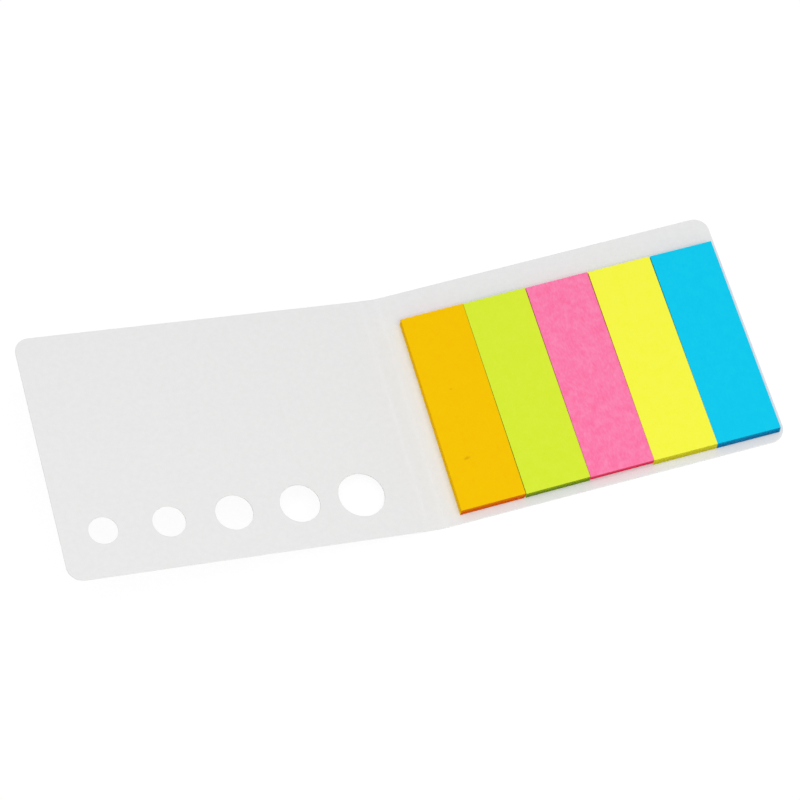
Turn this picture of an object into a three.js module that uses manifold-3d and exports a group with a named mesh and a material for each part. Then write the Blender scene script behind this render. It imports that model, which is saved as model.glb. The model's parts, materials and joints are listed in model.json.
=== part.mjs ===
// Sticky note set: a row of page-marker pads stuck inside a folding card cover with round windows.
// Millimetres, +Z up. The origin is the centre of the back cover's underside, +X runs along the
// row of pads away from the fold, and +Y runs towards the pads' gummed ends.

import * as THREE from 'three';
import { mergeVertices } from 'three/addons/utils/BufferGeometryUtils.js';
import Module from 'manifold-3d';

const wasm = await Module();
wasm.setup();

// Paper of the pads
const sheetThickness = 0.1;
const sheetsPerPad = 25;
const padWidth = 14.8;
const padLength = 50;
const padGap = 0.2;

// How far one sheet's edge stands proud of the next, and how many radians that wanders by a sheet
const edgeScatter = 0.04;
const scatterStep = 2.4;

// Each sheet reaches this far into the one below, so that a pad joins up as one solid
const sheetBond = 0.01;

// Card of the cover: its thickness, the bare card round the row of pads, and its round corners
const cardThickness = 0.4;
const foldMargin = 4;
const outerMargin = 1.2;
const upperMargin = 8;
const lowerMargin = 2;
const cornerRadius = 3.5;

// The front cover reaches a little past the back one when it is shut
const frontOverhang = 2;

// Room left over the pads inside the shut cover, and the slit at each crease
const closingRoom = 1.5;
const creaseGap = 0.3;

// How far the two creases stand open at rest, in degrees from a flat sheet
const spineRise = 12.5;
const coverRise = 3.5;

// Height of the windows' centres above the card's lower edge, and the facets of half a round edge
const windowHeight = 11;
const arcSegments = 24;

// One row for each pad, from the fold outwards. Turn is in degrees about the pad's own centre.
// Lean is how far the lowest sheet's free end stands back from the top sheet's, and splay how far
// the lowest sheet stands out towards the fold. Each pad has a round window of its own in the
// front cover, which misses the pad's middle by shift.
const pads = [
  { name: 'orange_pad', colour: '#f5c302', turn: 0.35, lean: 0.12, splay: 0.3, window: 10.7, shift: 1.6 },
  { name: 'green_pad', colour: '#d6ec36', turn: 0.45, lean: 0.2, splay: 0, window: 9.2, shift: 1.1 },
  { name: 'pink_pad', colour: '#fb80aa', turn: 0.35, lean: 0.45, splay: 0, window: 8.5, shift: 1.3 },
  { name: 'yellow_pad', colour: '#f4f64c', turn: 0.15, lean: 0.05, splay: 0, window: 7.4, shift: 1.1 },
  { name: 'blue_pad', colour: '#19caec', turn: -0.05, lean: 0.05, splay: 0, window: 6.5, shift: 0.8 },
];

// Sizes that follow from the ones above
const padThickness = sheetThickness * sheetsPerPad;
const padPitch = padWidth + padGap;
const rowLength = padPitch * pads.length - padGap;
const backWidth = foldMargin + rowLength + outerMargin;
const frontWidth = backWidth + frontOverhang;
const spineWidth = padThickness + closingRoom;
const cardHeight = lowerMargin + padLength + upperMargin;
const lowerEdge = -cardHeight / 2;
const upperEdge = cardHeight / 2;
const backCrease = -backWidth / 2;

// Distance of a pad's middle from the crease beside the row
const padMiddle = (index) => foldMargin + padWidth / 2 + index * padPitch;

function paperMaterial(colour, roughness) {
  return new THREE.MeshStandardMaterial({ color: colour, roughness, metalness: 0 });
}

function toSolid(geometry) {
  const bare = geometry.clone();
  bare.deleteAttribute('normal');
  bare.deleteAttribute('uv');
  const merged = mergeVertices(bare);
  return new wasm.Manifold(
    new wasm.Mesh({
      numProp: 3,
      vertProperties: new Float32Array(merged.attributes.position.array),
      triVerts: new Uint32Array(merged.index.array),
    }),
  );
}

function toGeometry(solid) {
  const { vertProperties, triVerts } = solid.getMesh();
  const geometry = new THREE.BufferGeometry();
  geometry.setAttribute('position', new THREE.BufferAttribute(vertProperties, 3));
  geometry.setIndex(new THREE.BufferAttribute(triVerts, 1));
  const flat = geometry.toNonIndexed();
  flat.computeVertexNormals();
  return flat;
}

// A card panel seen from above, its straight side beside the crease at x = 0 and its far side
// with round corners. Side is 1 for a panel on the right of its crease and -1 on the left.
function panelOutline(width, side) {
  const inner = side * (creaseGap / 2);
  const roundX = side * (width - cornerRadius);
  const aim = (angle) => (side > 0 ? angle : Math.PI - angle);
  const outline = new THREE.Shape();
  outline.moveTo(inner, lowerEdge);
  outline.lineTo(roundX, lowerEdge);
  outline.absarc(roundX, lowerEdge + cornerRadius, cornerRadius, aim(-Math.PI / 2), aim(0), side < 0);
  outline.lineTo(side * width, upperEdge - cornerRadius);
  outline.absarc(roundX, upperEdge - cornerRadius, cornerRadius, aim(0), aim(Math.PI / 2), side < 0);
  outline.lineTo(inner, upperEdge);
  outline.closePath();
  return outline;
}

function cardPanel(name, outline) {
  const geometry = new THREE.ExtrudeGeometry(outline, {
    depth: cardThickness,
    bevelEnabled: false,
    curveSegments: arcSegments,
  });
  const panel = new THREE.Mesh(geometry, paperMaterial('#e7e7e7', 0.85));
  panel.name = name;
  return panel;
}

function backCover() {
  const panel = cardPanel('back_cover', panelOutline(backWidth, 1));
  panel.position.x = backCrease;
  return panel;
}

// The narrow strip between the two creases, as wide as the shut cover is deep inside
function spine() {
  const near = -creaseGap / 2;
  const far = creaseGap / 2 - spineWidth;
  const outline = new THREE.Shape();
  outline.moveTo(near, lowerEdge);
  outline.lineTo(near, upperEdge);
  outline.lineTo(far, upperEdge);
  outline.lineTo(far, lowerEdge);
  outline.closePath();
  const panel = cardPanel('spine', outline);
  panel.position.z = -cardThickness;
  return panel;
}

// The front cover, with one punched window for each pad that it lies over when it is shut
function frontCover() {
  const outline = panelOutline(frontWidth, -1);
  pads.forEach((pad, index) => {
    const hole = new THREE.Path();
    const centre = -(padMiddle(index) + pad.shift);
    hole.absarc(centre, lowerEdge + windowHeight, pad.window / 2, 0, Math.PI * 2, false);
    outline.holes.push(hole);
  });
  const panel = cardPanel('front_cover', outline);
  panel.position.z = -cardThickness;
  return panel;
}

// A pad is a stack of single sheets gummed along one end. Every sheet's edges stand a hair in or
// out of its neighbours', and the stack leans a little where it was slid by hand.
function padStack(pad) {
  let stack = null;
  for (let sheet = 0; sheet < sheetsPerPad; sheet += 1) {
    const below = 1 - sheet / (sheetsPerPad - 1);
    const along = pad.lean * below + edgeScatter * Math.sin(sheet * scatterStep);
    const across = (edgeScatter / 2) * Math.cos(sheet * scatterStep) - pad.splay * below;
    const bottom = sheet === 0 ? 0 : sheet * sheetThickness - sheetBond;
    const top = (sheet + 1) * sheetThickness;
    const geometry = new THREE.BoxGeometry(padWidth, padLength, top - bottom);
    geometry.translate(across, along, (bottom + top) / 2);
    const solid = toSolid(geometry);
    stack = stack ? stack.add(solid) : solid;
  }
  return toGeometry(stack);
}

function stickyPad(pad, index) {
  const mesh = new THREE.Mesh(padStack(pad), paperMaterial(pad.colour, 0.8));
  mesh.name = pad.name;
  mesh.position.set(backCrease + padMiddle(index), lowerEdge + lowerMargin + padLength / 2, cardThickness);
  mesh.rotation.z = THREE.MathUtils.degToRad(pad.turn);
  return mesh;
}

// Each crease turns about a line along Y in the card's inner face
const coverFold = new THREE.Group();
coverFold.position.x = -spineWidth;
coverFold.rotation.y = THREE.MathUtils.degToRad(coverRise);
coverFold.add(frontCover());

const spineFold = new THREE.Group();
spineFold.position.set(backCrease, 0, cardThickness);
spineFold.rotation.y = THREE.MathUtils.degToRad(spineRise);
spineFold.add(spine(), coverFold);

const stickyNoteSet = new THREE.Group();
stickyNoteSet.name = 'sticky_note_set';
stickyNoteSet.add(backCover(), spineFold, ...pads.map(stickyPad));
stickyNoteSet.updateMatrixWorld(true);

export default stickyNoteSet;
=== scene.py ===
import json
import math

import bmesh
import bpy
from mathutils import Matrix, Quaternion, Vector


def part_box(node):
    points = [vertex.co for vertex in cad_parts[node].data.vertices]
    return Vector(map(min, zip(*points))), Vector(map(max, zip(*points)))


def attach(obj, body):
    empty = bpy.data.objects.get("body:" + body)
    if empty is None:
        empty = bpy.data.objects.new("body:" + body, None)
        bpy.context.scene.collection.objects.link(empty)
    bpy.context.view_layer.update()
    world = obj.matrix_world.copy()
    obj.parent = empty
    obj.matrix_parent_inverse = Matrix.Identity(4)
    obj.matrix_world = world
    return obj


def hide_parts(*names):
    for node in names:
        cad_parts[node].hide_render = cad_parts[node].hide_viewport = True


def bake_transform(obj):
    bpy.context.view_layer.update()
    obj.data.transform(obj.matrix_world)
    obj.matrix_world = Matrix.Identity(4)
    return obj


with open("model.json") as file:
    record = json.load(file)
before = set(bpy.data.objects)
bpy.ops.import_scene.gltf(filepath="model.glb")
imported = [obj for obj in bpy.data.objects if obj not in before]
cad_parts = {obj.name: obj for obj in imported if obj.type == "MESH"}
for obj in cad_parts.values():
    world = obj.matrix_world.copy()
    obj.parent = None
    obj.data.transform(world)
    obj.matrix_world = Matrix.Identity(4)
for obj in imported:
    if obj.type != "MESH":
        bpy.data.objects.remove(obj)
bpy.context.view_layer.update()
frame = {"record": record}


# Camera. It looks down on the open set from in front of the fold, a little from the left,
# through a long lens, as the photograph does.
aim = Vector((-0.04149, 0.00351, 0.0))
stand_off = 0.6056
heading = math.radians(13.07)
look_down = math.radians(64.04)
roll = math.radians(-2.57)

toward = Vector((
    math.sin(heading) * math.cos(look_down),
    math.cos(heading) * math.cos(look_down),
    -math.sin(look_down),
))
lens = bpy.data.cameras.new("camera")
lens.lens = 119.43
lens.sensor_width = 36.0
lens.clip_start = 0.01
camera = bpy.data.objects.new("camera", lens)
camera.location = aim - toward * stand_off
camera.rotation_mode = "QUATERNION"
camera.rotation_quaternion = toward.to_track_quat("-Z", "Y") @ Quaternion((0, 0, 1), roll)
bpy.context.scene.collection.objects.link(camera)
bpy.context.scene.camera = camera
bpy.context.scene.view_settings.view_transform = "Standard"


# Light. One broad soft lamp hangs over the set, a little in front, and the room fills in from all
# round. The room shows as plain white behind the set.
FILL_STRENGTH = 0.665
LAMP_WIDTH = 0.7
LAMP_POWER = 3.86
LAMP_PLACE = Vector((0.03, -0.22, 0.77))

room = bpy.data.worlds.new("room")
bpy.context.scene.world = room
room.use_nodes = True
nodes, links = room.node_tree.nodes, room.node_tree.links
nodes.clear()
path = nodes.new("ShaderNodeLightPath")
seen = nodes.new("ShaderNodeMath")
seen.operation = "MAXIMUM"
links.new(path.outputs["Is Camera Ray"], seen.inputs[0])
links.new(path.outputs["Is Glossy Ray"], seen.inputs[1])
seen_through = nodes.new("ShaderNodeMath")
seen_through.operation = "MAXIMUM"
links.new(seen.outputs[0], seen_through.inputs[0])
links.new(path.outputs["Is Transmission Ray"], seen_through.inputs[1])
fill = nodes.new("ShaderNodeBackground")
fill.inputs["Strength"].default_value = FILL_STRENGTH
white = nodes.new("ShaderNodeBackground")
white.inputs["Color"].default_value = (1, 1, 1, 1)
white.inputs["Strength"].default_value = 1.0
mix = nodes.new("ShaderNodeMixShader")
links.new(seen_through.outputs[0], mix.inputs["Fac"])
links.new(fill.outputs[0], mix.inputs[1])
links.new(white.outputs[0], mix.inputs[2])
world_out = nodes.new("ShaderNodeOutputWorld")
links.new(mix.outputs[0], world_out.inputs["Surface"])

softbox = bpy.data.lights.new("softbox", "AREA")
softbox.shape = "SQUARE"
softbox.size = LAMP_WIDTH
softbox.energy = LAMP_POWER
softbox_object = bpy.data.objects.new("softbox", softbox)
softbox_object.location = LAMP_PLACE
softbox_object.rotation_mode = "QUATERNION"
softbox_object.rotation_quaternion = (-LAMP_PLACE).to_track_quat("-Z", "Y")
bpy.context.scene.collection.objects.link(softbox_object)


# Floor. A plain white table top under the set. To the camera it is almost pure white, and it
# keeps a faint shadow of the raised cover.
FLOOR_SPAN = 3.0
FLOOR_DROP = 0.00005
TABLE_COLOUR = (0.9, 0.9, 0.9, 1)

# The camera sees this share of the floor as an even white glow, and the rest as lit
# table top, which takes the shadow
GLOW_SHARE = 0.88
GLOW_STRENGTH = 1.04

floor_bm = bmesh.new()
bmesh.ops.create_grid(floor_bm, x_segments=1, y_segments=1, size=FLOOR_SPAN / 2)
bmesh.ops.translate(floor_bm, verts=floor_bm.verts, vec=(0, 0, -FLOOR_DROP))
floor_mesh = bpy.data.meshes.new("floor")
floor_bm.to_mesh(floor_mesh)
floor_bm.free()
floor = bpy.data.objects.new("floor", floor_mesh)
bpy.context.scene.collection.objects.link(floor)

table_top = bpy.data.materials.new("table_top")
table_top.use_nodes = True
nodes, links = table_top.node_tree.nodes, table_top.node_tree.links
nodes.clear()
matt = nodes.new("ShaderNodeBsdfDiffuse")
matt.inputs["Color"].default_value = TABLE_COLOUR
glow = nodes.new("ShaderNodeEmission")
glow.inputs["Color"].default_value = (1, 1, 1, 1)
glow.inputs["Strength"].default_value = GLOW_STRENGTH
path = nodes.new("ShaderNodeLightPath")
share = nodes.new("ShaderNodeMath")
share.operation = "MULTIPLY"
share.inputs[1].default_value = GLOW_SHARE
links.new(path.outputs["Is Camera Ray"], share.inputs[0])
mix = nodes.new("ShaderNodeMixShader")
links.new(share.outputs[0], mix.inputs["Fac"])
links.new(matt.outputs[0], mix.inputs[1])
links.new(glow.outputs[0], mix.inputs[2])
out = nodes.new("ShaderNodeOutputMaterial")
links.new(mix.outputs[0], out.inputs["Surface"])
floor.data.materials.append(table_top)


# Cover. One sheet of stiff white card, die-cut with round corners and a row of round windows,
# and creased twice so that it shuts over the pads like a book. It is modelled flat and parted
# along the middle of the spine, so that each half crosses one crease, and then it is bent.
back_low, back_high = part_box("back_cover")
hinges = {joint["name"]: joint for joint in frame["record"]["behaviour"]["joints"]}
back_crease = Vector(hinges["spine_fold"]["pos_m"])
front_crease = Vector(hinges["cover_fold"]["pos_m"])
CARD_THICKNESS = back_high[2] - back_low[2]
SPINE_WIDTH = (front_crease - back_crease).length
FRONT_WIDTH = 0.082
CORNER_RADIUS = 0.0035
CORNER_FACETS = 16
CARD_WHITE = (231, 231, 231)
# The cut edge's colour is painted lighter than the face's, to lift the shade that falls on the thin edge
LIGHTENED_RAW_BOARD = (248, 248, 246)

# How far each crease stands open at rest
SPINE_RISE = math.radians(12.5)
COVER_RISE = math.radians(3.5)

# The die leaves the rims a little rounded. A rim is an edge that turns by more than this.
RIM_ROUNDING = 0.00006
RIM_FACETS = 2
RIM_ANGLE = math.radians(40)

# At rest the card turns evenly through a soft curve at each crease. The narrow band in the
# middle of the curve is where the creasing rule left a low bead.
CURVE_REACH = 0.0018
CURVE_ROWS = 24
CREASE_REACH = 0.0006
BEAD_HEIGHT = 0.000015

# The card's colour is a little lighter in a narrow band over each crease, on both sides of the
# bead. The lighter band is given far more length than the card is high, so that it is the same
# from end to end.
CREASE_LIGHTENING = 0.014
LIGHTER_BAND_REACH = 0.0011
LIGHTER_BAND_LENGTH = 1.0

# One window for each pad, from the fold outwards: its width, and how far it misses the middle
# of its pad when the cover is shut
WINDOWS = (
    (0.0107, 0.0016),
    (0.0092, 0.0011),
    (0.0085, 0.0013),
    (0.0074, 0.0011),
    (0.0065, 0.0008),
)
WINDOW_HEIGHT = 0.011
WINDOW_FACETS = 96
PUNCH_LENGTH = CARD_THICKNESS * 4
FIRST_PAD_MIDDLE = 0.0114
PAD_PITCH = 0.015

# Points nearer than the first of these are one point, and those nearer to a line than the
# second lie on it
SAME_POINT = 1e-7
ON_LINE = 1e-6

# A face looks up, or to one side, when more than this much of its normal points there
FACING = 0.5

# Noise stays mostly between these two values, which a pattern spreads over its own range
NOISE_LOW = 0.3
NOISE_HIGH = 0.7
BUMP_STRENGTH = 0.5

flat_front_crease = back_crease.x - SPINE_WIDTH
flat_left = flat_front_crease - FRONT_WIDTH
mid_spine = back_crease.x - SPINE_WIDTH / 2


def linear(red, green, blue):
    """A colour as a screen shows it, 0 to 255 each, as the light values that a shader takes."""
    values = []
    for value in (red, green, blue):
        part = value / 255
        values.append(part / 12.92 if part <= 0.04045 else ((part + 0.055) / 1.055) ** 2.4)
    return (*values, 1.0)


def card_sheet():
    """The flat sheet with its round corners, as one closed solid."""
    sheet = bmesh.new()
    bmesh.ops.create_cube(sheet, size=1.0)
    size = (back_high[0] - flat_left, back_high[1] - back_low[1], CARD_THICKNESS)
    middle = (
        (back_high[0] + flat_left) / 2,
        (back_high[1] + back_low[1]) / 2,
        (back_high[2] + back_low[2]) / 2,
    )
    bmesh.ops.scale(sheet, verts=sheet.verts, vec=size)
    bmesh.ops.translate(sheet, verts=sheet.verts, vec=middle)
    upright = [e for e in sheet.edges if abs(e.verts[0].co.z - e.verts[1].co.z) > CARD_THICKNESS / 2]
    bmesh.ops.bevel(
        sheet, geom=upright, offset=CORNER_RADIUS, segments=CORNER_FACETS,
        profile=0.5, affect="EDGES", material=-1,
    )
    return sheet


def punch_windows(sheet):
    """The sheet with its windows, cut by a punch for each."""
    punches = bmesh.new()
    for index, (width, miss) in enumerate(WINDOWS):
        from_fold = FIRST_PAD_MIDDLE + index * PAD_PITCH + miss
        centre = (flat_front_crease - from_fold, back_low[1] + WINDOW_HEIGHT, back_crease.z)
        bmesh.ops.create_cone(
            punches, cap_ends=True, segments=WINDOW_FACETS, radius1=width / 2,
            radius2=width / 2, depth=PUNCH_LENGTH, matrix=Matrix.Translation(centre),
        )
    made = []
    for name, shape in (("sheet_blank", sheet), ("punches", punches)):
        mesh = bpy.data.meshes.new(name)
        shape.to_mesh(mesh)
        shape.free()
        made.append(bpy.data.objects.new(name, mesh))
        bpy.context.scene.collection.objects.link(made[-1])
    blank, tool = made
    cut = blank.modifiers.new("windows", "BOOLEAN")
    cut.operation = "DIFFERENCE"
    cut.solver = "EXACT"
    cut.object = tool
    evaluated = blank.evaluated_get(bpy.context.evaluated_depsgraph_get())
    punched = bmesh.new()
    punched.from_mesh(evaluated.to_mesh())
    evaluated.to_mesh_clear()
    for item in made:
        mesh = item.data
        bpy.data.objects.remove(item)
        bpy.data.meshes.remove(mesh)
    return punched


def press_crease(sheet, crease_x):
    """Cuts the sheet into rows across a fold's curve and lifts the middle ones into the bead."""
    for row in range(CURVE_ROWS + 1):
        across = (2 * row / CURVE_ROWS - 1) * CURVE_REACH
        everything = sheet.verts[:] + sheet.edges[:] + sheet.faces[:]
        line_x = crease_x + across
        bmesh.ops.bisect_plane(
            sheet, geom=everything, dist=SAME_POINT, plane_co=(line_x, 0, 0), plane_no=(1, 0, 0),
        )
        if abs(across) < CREASE_REACH:
            line = [v for v in sheet.verts if abs(v.co.x - line_x) < ON_LINE]
            lift = BEAD_HEIGHT * (1 + math.cos(math.pi * across / CREASE_REACH)) / 2
            bmesh.ops.translate(sheet, verts=line, vec=(0, 0, lift))


def half_sheet(sheet, keep_right):
    """One side of the middle of the spine, closed where it was parted."""
    half = sheet.copy()
    everything = half.verts[:] + half.edges[:] + half.faces[:]
    bmesh.ops.bisect_plane(
        half, geom=everything, dist=SAME_POINT, plane_co=(mid_spine, 0, 0), plane_no=(1, 0, 0),
        clear_inner=keep_right, clear_outer=not keep_right,
    )
    open_edges = [e for e in half.edges if e.is_boundary]
    bmesh.ops.holes_fill(half, edges=open_edges, sides=0)
    bmesh.ops.recalc_face_normals(half, faces=half.faces)
    return half


def bend(half, crease_x, rise):
    """Turns what lies left of a crease upwards, by an equal small turn at every row of its curve."""
    flat_x = {vert: vert.co.x for vert in half.verts}
    step = 2 * CURVE_REACH / CURVE_ROWS
    small_turn = rise / CURVE_ROWS
    turned = 0.0
    pivot = Vector((crease_x + CURVE_REACH - step / 2, 0, back_crease.z))
    for row in range(CURVE_ROWS):
        line_x = crease_x + CURVE_REACH - (row + 0.5) * step
        beyond = [vert for vert in half.verts if flat_x[vert] < line_x]
        bmesh.ops.rotate(half, verts=beyond, cent=pivot, matrix=Matrix.Rotation(small_turn, 3, "Y"))
        turned += small_turn
        pivot += step * Vector((-math.cos(turned), 0, math.sin(turned)))


def new_material(name):
    """A material with only its output, a surface shader and the piece's own coordinates."""
    material = bpy.data.materials.new(name)
    material.use_nodes = True
    tree = material.node_tree
    tree.nodes.clear()
    surface = tree.nodes.new("ShaderNodeBsdfPrincipled")
    output = tree.nodes.new("ShaderNodeOutputMaterial")
    tree.links.new(surface.outputs[0], output.inputs["Surface"])
    place = tree.nodes.new("ShaderNodeTexCoord").outputs["Object"]
    return material, tree, surface, place


def mottle(tree, place, scale, detail, low, high, stretch=(1, 1, 1)):
    """A cloudy pattern on the piece, between two values."""
    mapping = tree.nodes.new("ShaderNodeMapping")
    mapping.inputs["Scale"].default_value = stretch
    tree.links.new(place, mapping.inputs["Vector"])
    noise = tree.nodes.new("ShaderNodeTexNoise")
    noise.inputs["Scale"].default_value = scale
    noise.inputs["Detail"].default_value = detail
    tree.links.new(mapping.outputs[0], noise.inputs["Vector"])
    spread = tree.nodes.new("ShaderNodeMapRange")
    spread.inputs["From Min"].default_value = NOISE_LOW
    spread.inputs["From Max"].default_value = NOISE_HIGH
    spread.inputs["To Min"].default_value = low
    spread.inputs["To Max"].default_value = high
    tree.links.new(noise.outputs["Fac"], spread.inputs["Value"])
    return spread.outputs["Result"]


def tint(tree, colour, factor):
    """A colour made lighter or darker by a pattern."""
    scale = tree.nodes.new("ShaderNodeVectorMath")
    scale.operation = "SCALE"
    scale.inputs[0].default_value = colour[:3]
    tree.links.new(factor, scale.inputs["Scale"])
    return scale.outputs["Vector"]


def relief(tree, surface, height, depth):
    """Bump from a pattern. The depth, in metres, is that of a step from 0 to 1."""
    bump = tree.nodes.new("ShaderNodeBump")
    bump.inputs["Strength"].default_value = BUMP_STRENGTH
    bump.inputs["Distance"].default_value = depth
    tree.links.new(height, bump.inputs["Height"])
    tree.links.new(bump.outputs[0], surface.inputs["Normal"])


def lighter_band(tree, place, crease, tone):
    """The tone, lighter in a narrow band along the crease."""
    along_crease = tree.nodes.new("ShaderNodeMapping")
    along_crease.vector_type = "TEXTURE"
    along_crease.inputs["Location"].default_value = crease
    along_crease.inputs["Scale"].default_value = (LIGHTER_BAND_REACH, LIGHTER_BAND_LENGTH, LIGHTER_BAND_LENGTH)
    tree.links.new(place, along_crease.inputs["Vector"])
    band = tree.nodes.new("ShaderNodeTexGradient")
    band.gradient_type = "SPHERICAL"
    tree.links.new(along_crease.outputs[0], band.inputs["Vector"])
    lift = tree.nodes.new("ShaderNodeMath")
    lift.operation = "MULTIPLY_ADD"
    lift.inputs[1].default_value = CREASE_LIGHTENING
    tree.links.new(band.outputs["Fac"], lift.inputs[0])
    tree.links.new(tone, lift.inputs[2])
    return lift.outputs[0]


def card_face():
    """Smooth coated card: a soft sheen, a faint cloudy tone, a fine skin and lighter bands along the
    creases.
    """
    material, tree, surface, place = new_material("card_face")
    surface.inputs["Roughness"].default_value = 0.6
    surface.inputs["Specular IOR Level"].default_value = 0.3
    tone = mottle(tree, place, scale=900, detail=4, low=0.985, high=1.015)
    for crease in (back_crease, front_crease):
        tone = lighter_band(tree, place, crease, tone)
    tree.links.new(tint(tree, linear(*CARD_WHITE), tone), surface.inputs["Base Color"])
    relief(tree, surface, mottle(tree, place, scale=3500, detail=3, low=0, high=1), depth=0.00001)
    return material


def card_cut_edge():
    """The board's raw middle, a little warmer, in thin layers, painted lighter than the card's face to
    lift the shade on its thin edge.
    """
    material, tree, surface, place = new_material("card_cut_edge")
    surface.inputs["Roughness"].default_value = 0.9
    surface.inputs["Specular IOR Level"].default_value = 0.2
    layers = mottle(tree, place, scale=1500, detail=5, low=0.95, high=1.02, stretch=(1, 1, 12))
    tree.links.new(tint(tree, linear(*LIGHTENED_RAW_BOARD), layers), surface.inputs["Base Color"])
    relief(tree, surface, layers, depth=0.00002)
    return material


def card_half(name, half, materials):
    """One half of the cover, already bent at its crease, as a piece."""
    for face in half.faces:
        face.material_index = 0 if abs(face.normal.z) > FACING else 1
    mesh = bpy.data.meshes.new(name)
    half.to_mesh(mesh)
    half.free()
    piece = bpy.data.objects.new(name, mesh)
    bpy.context.scene.collection.objects.link(piece)
    for material in materials:
        mesh.materials.append(material)
    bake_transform(piece)
    return piece


flat_sheet = punch_windows(card_sheet())
bmesh.ops.remove_doubles(flat_sheet, verts=flat_sheet.verts, dist=SAME_POINT)
rims = [e for e in flat_sheet.edges if len(e.link_faces) == 2 and e.calc_face_angle() > RIM_ANGLE]
bmesh.ops.bevel(
    flat_sheet, geom=rims, offset=RIM_ROUNDING, segments=RIM_FACETS,
    profile=0.5, affect="EDGES", material=-1,
)
press_crease(flat_sheet, back_crease.x)
press_crease(flat_sheet, flat_front_crease)
back_half = half_sheet(flat_sheet, keep_right=True)
front_half = half_sheet(flat_sheet, keep_right=False)
flat_sheet.free()

bend(back_half, back_crease.x, SPINE_RISE)
bend(front_half, flat_front_crease, COVER_RISE)
bmesh.ops.rotate(
    front_half, verts=front_half.verts, cent=back_crease, matrix=Matrix.Rotation(SPINE_RISE, 3, "Y"),
)

card_finishes = (card_face(), card_cut_edge())
cover_back = card_half(
    "cover_back_half", back_half, card_finishes,
)
cover_front = card_half(
    "cover_front_half", front_half, card_finishes,
)
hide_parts("back_cover", "spine")
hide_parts("front_cover")


# Pads. Each is a stack of strips of dyed paper, gummed together at its upper end and stuck to
# the back cover. The strips are cut a hair out of line and show as fine layers at every edge.
PAD_LENGTH = 0.05

# A hair wider than the plain solids, because the real pads all but touch each other
PAD_WIDTH = 0.01488

# Each strip fills most of its place in the stack, and the rest is air between the strips
SHEETS = 25
SHEET_PITCH = 0.0001
SHEET_THICKNESS = 0.000088

# How far a strip stands out of line, and how many radians that wanders by a strip
EDGE_SCATTER = 0.000012
SCATTER_STEP = 2.4

# How far the top strip's free end has sprung up, and the cells of a strip that curves so
FREE_END_LIFT = 0.00006
CELLS_ACROSS = 4
CELLS_ALONG = 16

# Turn in degrees. Lean is how far the lowest strip's free end stands back, and splay how far
# the lowest strip stands out towards the fold. Then the colours of the face, the cut ends, which
# are painted deeper and darker as painted shade, and the cut long sides, which are painted
# lighter as painted light, and how cloudy the dye is.
PADS = (
    ("orange_pad", 0.35, 0.00012, 0.0003, (245, 195, 1), (212, 50, 2), (255, 208, 8), 0.03),
    ("green_pad", 0.45, 0.0002, 0.0, (215, 236, 55), (88, 116, 14), (196, 220, 45), 0.04),
    ("pink_pad", 0.35, 0.00045, 0.0, (251, 125, 171), (230, 36, 76), (255, 66, 84), 0.09),
    ("yellow_pad", 0.15, 0.00005, 0.0, (245, 246, 70), (188, 178, 16), (255, 228, 50), 0.04),
    ("blue_pad", -0.05, 0.00005, 0.0, (14, 201, 237), (12, 86, 146), (30, 175, 225), 0.03),
)

# Two small brown smudges on the orange pad's top strip: place, length, width, turn, strength.
# In its darkest flecks a smudge is three times as strong as in its palest.
SMUDGE_BROWN = (160, 88, 8)
SMUDGE_FLECKS = 3
SMUDGES = (
    ((-0.03118, -0.01595), 0.0021, 0.0010, 0.15, 0.2),
    ((-0.02992, 0.00164), 0.0011, 0.0006, -0.2, 0.13),
)

# The lower share of a cut edge that keeps its deep colour, and how far painted light takes the
# topmost strip towards its face's colour
UNLIGHTENED_SHARE = 0.45
TOP_PAINTED_LIGHT = 0.35

# A Mix node has a set of sockets for each kind of value: these are its two colours and the
# colour that comes out
MIX_FIRST = 6
MIX_SECOND = 7
MIX_RESULT = 2


def strip_stack(turn, lean, splay):
    """All strips of one pad, each its own thin closed sheet, round the middle of its underside.

    The higher a strip lies, the more its free half curves upwards.
    """
    stack = bmesh.new()
    for index in range(SHEETS):
        grid = bmesh.ops.create_grid(stack, x_segments=CELLS_ACROSS, y_segments=CELLS_ALONG, size=0.5)
        verts = grid["verts"]
        bmesh.ops.scale(stack, verts=verts, vec=(PAD_WIDTH, PAD_LENGTH, 1))
        height = index / (SHEETS - 1)
        for vert in verts:
            to_free_end = max(-vert.co.y / (PAD_LENGTH / 2), 0)
            vert.co.z += FREE_END_LIFT * height * to_free_end ** 3
        faces = list({face for vert in verts for face in vert.link_faces})
        raised = bmesh.ops.extrude_face_region(stack, geom=faces)
        upper = [item for item in raised["geom"] if isinstance(item, bmesh.types.BMVert)]
        bmesh.ops.translate(stack, verts=upper, vec=(0, 0, SHEET_THICKNESS))
        along = lean * (1 - height) + EDGE_SCATTER * math.sin(index * SCATTER_STEP)
        across = EDGE_SCATTER / 2 * math.cos(index * SCATTER_STEP) - splay * (1 - height)
        bmesh.ops.translate(stack, verts=verts + upper, vec=(across, along, index * SHEET_PITCH))
    bmesh.ops.recalc_face_normals(stack, faces=stack.faces)
    bmesh.ops.rotate(stack, verts=stack.verts, matrix=Matrix.Rotation(math.radians(turn), 3, "Z"))
    return stack


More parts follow.
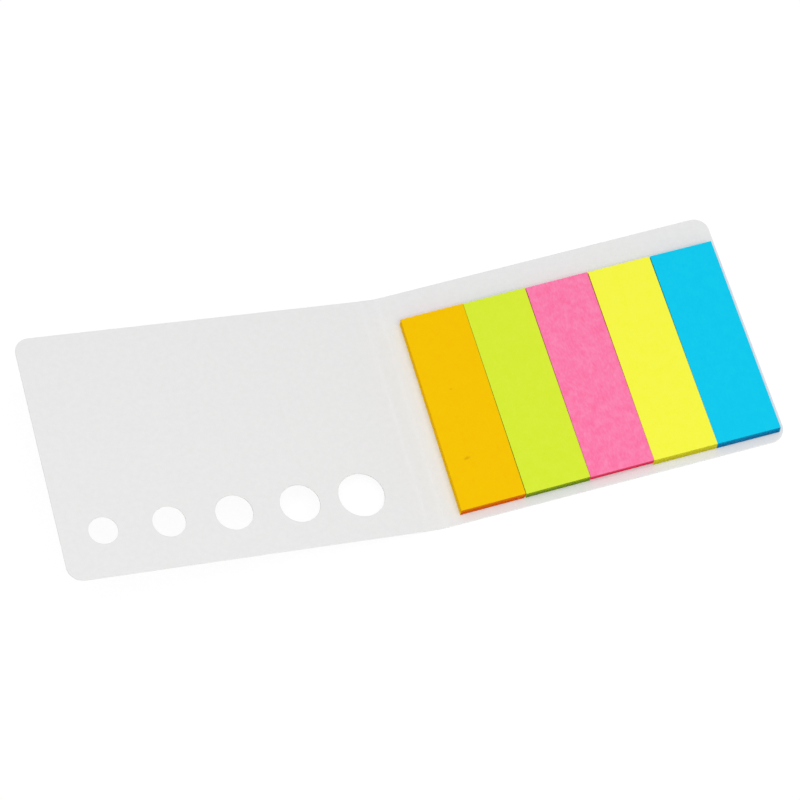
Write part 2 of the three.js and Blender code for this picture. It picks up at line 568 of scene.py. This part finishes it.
def paper_face(name, colour, cloud):
    """Dyed uncoated paper, deeper in its own hue where the fibres take up more dye."""
    material, tree, surface, place = new_material(name)
    surface.inputs["Roughness"].default_value = 0.85
    surface.inputs["Specular IOR Level"].default_value = 0.05
    clouds = mottle(tree, place, scale=550, detail=4, low=1 - cloud, high=1 + cloud)
    fibres = mottle(tree, place, scale=2500, detail=5, low=1 - cloud, high=1 + cloud, stretch=(1, 0.4, 1))
    take_up = tree.nodes.new("ShaderNodeMath")
    take_up.operation = "MULTIPLY"
    tree.links.new(clouds, take_up.inputs[0])
    tree.links.new(fibres, take_up.inputs[1])
    dyed = tree.nodes.new("ShaderNodeGamma")
    dyed.inputs["Color"].default_value = linear(*colour)
    tree.links.new(take_up.outputs[0], dyed.inputs["Gamma"])
    tree.links.new(dyed.outputs[0], surface.inputs["Base Color"])
    relief(tree, surface, mottle(tree, place, scale=4000, detail=4, low=0, high=1), depth=0.000012)
    return material


def smudge(material, centre, length, width, turn, strength):
    """A small brown mark rubbed into the paper, ragged at its edge."""
    tree = material.node_tree
    surface = next(node for node in tree.nodes if node.type == "BSDF_PRINCIPLED")
    place = next(node for node in tree.nodes if node.type == "TEX_COORD").outputs["Object"]
    oval = tree.nodes.new("ShaderNodeMapping")
    oval.vector_type = "TEXTURE"
    oval.inputs["Location"].default_value = centre
    oval.inputs["Rotation"].default_value = (0, 0, turn)
    oval.inputs["Scale"].default_value = (length / 2, width / 2, SHEET_PITCH)
    tree.links.new(place, oval.inputs["Vector"])
    fading = tree.nodes.new("ShaderNodeTexGradient")
    fading.gradient_type = "SPHERICAL"
    tree.links.new(oval.outputs[0], fading.inputs["Vector"])
    ragged = tree.nodes.new("ShaderNodeMath")
    ragged.operation = "MULTIPLY"
    ragged.use_clamp = True
    tree.links.new(fading.outputs["Fac"], ragged.inputs[0])
    tree.links.new(
        mottle(tree, place, scale=6000, detail=3, low=strength, high=strength * SMUDGE_FLECKS),
        ragged.inputs[1],
    )
    marked = tree.nodes.new("ShaderNodeMix")
    marked.data_type = "RGBA"
    tree.links.new(ragged.outputs[0], marked.inputs["Factor"])
    clean = surface.inputs["Base Color"].links[0].from_socket
    tree.links.new(clean, marked.inputs[MIX_FIRST])
    marked.inputs[MIX_SECOND].default_value = linear(*SMUDGE_BROWN)
    tree.links.new(marked.outputs[MIX_RESULT], surface.inputs["Base Color"])


def paper_edge(name, painted_edge_tone, face_colour, underside, height):
    """The cut edges of the stacked strips, changing a little from strip to strip.

    They are deeper in colour than the strips' faces, with painted shade in the ends' colour and
    painted light in the long sides', and painted paler near the top, where the light reaches in
    between the strips.
    """
    material, tree, surface, place = new_material(name)
    surface.inputs["Roughness"].default_value = 0.95
    surface.inputs["Specular IOR Level"].default_value = 0.05
    strips = mottle(tree, place, scale=400, detail=2, low=0.93, high=1.06, stretch=(0.02, 0.02, 25))
    split = tree.nodes.new("ShaderNodeSeparateXYZ")
    tree.links.new(place, split.inputs[0])
    # Painted light: the cut edge grows paler from its lower share up to the top strip
    rise = tree.nodes.new("ShaderNodeMapRange")
    rise.inputs["From Min"].default_value = underside + height * UNLIGHTENED_SHARE
    rise.inputs["From Max"].default_value = underside + height
    rise.inputs["To Max"].default_value = TOP_PAINTED_LIGHT
    tree.links.new(split.outputs["Z"], rise.inputs["Value"])
    shaded = tree.nodes.new("ShaderNodeMix")
    shaded.data_type = "RGBA"
    tree.links.new(rise.outputs["Result"], shaded.inputs["Factor"])
    tree.links.new(tint(tree, linear(*painted_edge_tone), strips), shaded.inputs[MIX_FIRST])
    shaded.inputs[MIX_SECOND].default_value = linear(*face_colour)
    tree.links.new(shaded.outputs[MIX_RESULT], surface.inputs["Base Color"])
    return material


for pad, turn, lean, splay, face_colour, shaded_end_colour, lit_side_colour, cloud in PADS:
    low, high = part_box(pad)
    stack = strip_stack(turn, lean, splay)
    middle = Vector(((low[0] + high[0] + splay) / 2, (low[1] + high[1] - lean) / 2, low[2]))
    bmesh.ops.translate(stack, verts=stack.verts, vec=middle)
    # Faces looking along the pad get the ends' colour with its painted shade, and faces looking to the
    # sides the long sides' colour with its painted light
    for strip_face in stack.faces:
        if abs(strip_face.normal.z) > FACING:
            strip_face.material_index = 0
        else:
            strip_face.material_index = 1 if abs(strip_face.normal.y) > FACING else 2
    mesh = bpy.data.meshes.new(f"{pad}_strips")
    stack.to_mesh(mesh)
    stack.free()
    face = paper_face(f"{pad}_face", face_colour, cloud)
    if pad == "orange_pad":
        for (x, y), length, width, angle, strength in SMUDGES:
            smudge(face, (x, y, high[2]), length, width, angle, strength)
    mesh.materials.append(face)
    for part, colour in (("end", shaded_end_colour), ("side", lit_side_colour)):
        mesh.materials.append(paper_edge(f"{pad}_{part}", colour, face_colour, low[2], high[2] - low[2]))
    strips = bpy.data.objects.new(f"{pad}_strips", mesh)
    bpy.context.scene.collection.objects.link(strips)
    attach(strips, "back")
    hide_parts(pad)
